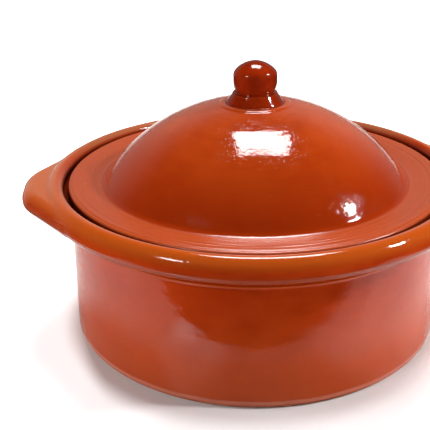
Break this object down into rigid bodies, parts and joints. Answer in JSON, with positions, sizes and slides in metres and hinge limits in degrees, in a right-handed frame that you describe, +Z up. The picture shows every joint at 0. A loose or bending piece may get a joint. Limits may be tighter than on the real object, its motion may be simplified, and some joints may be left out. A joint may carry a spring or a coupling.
{
  "type": "lidded clay casserole",
  "caption": "Round glazed clay casserole with a rolled rim, lug handles and a domed lift-off lid with a turned knob.",
  "frame": {"origin": "centre of the flat base, on the surface the pot stands on", "axes": "+Z up along the axis the pot, the lid and the knob are turned about; +X through the middle of one lug handle"},
  "size_m": [0.2414, 0.219, 0.1382],
  "materials": {
    "pot_glaze": "glossy transparent glaze over red clay, bare clay under the base",
    "handle_glaze": "glossy transparent glaze over red clay",
    "lid_glaze": "glossy transparent glaze over red clay, fine orange peel and pinholes",
    "knob_glaze": "thick very glossy glaze over red clay"
  },
  "bodies": {
    "pot": {"pot": "pot_glaze", "handle_left": "handle_glaze", "handle_right": "handle_glaze"},
    "lid": {"lid": "lid_glaze", "knob": "knob_glaze"}
  },
  "joints": [
    {"name": "lid_lift", "type": "slide", "parent": "pot", "child": "lid", "axis": [0, 0, 1], "range_m": [0, 0.12]}
  ]
}
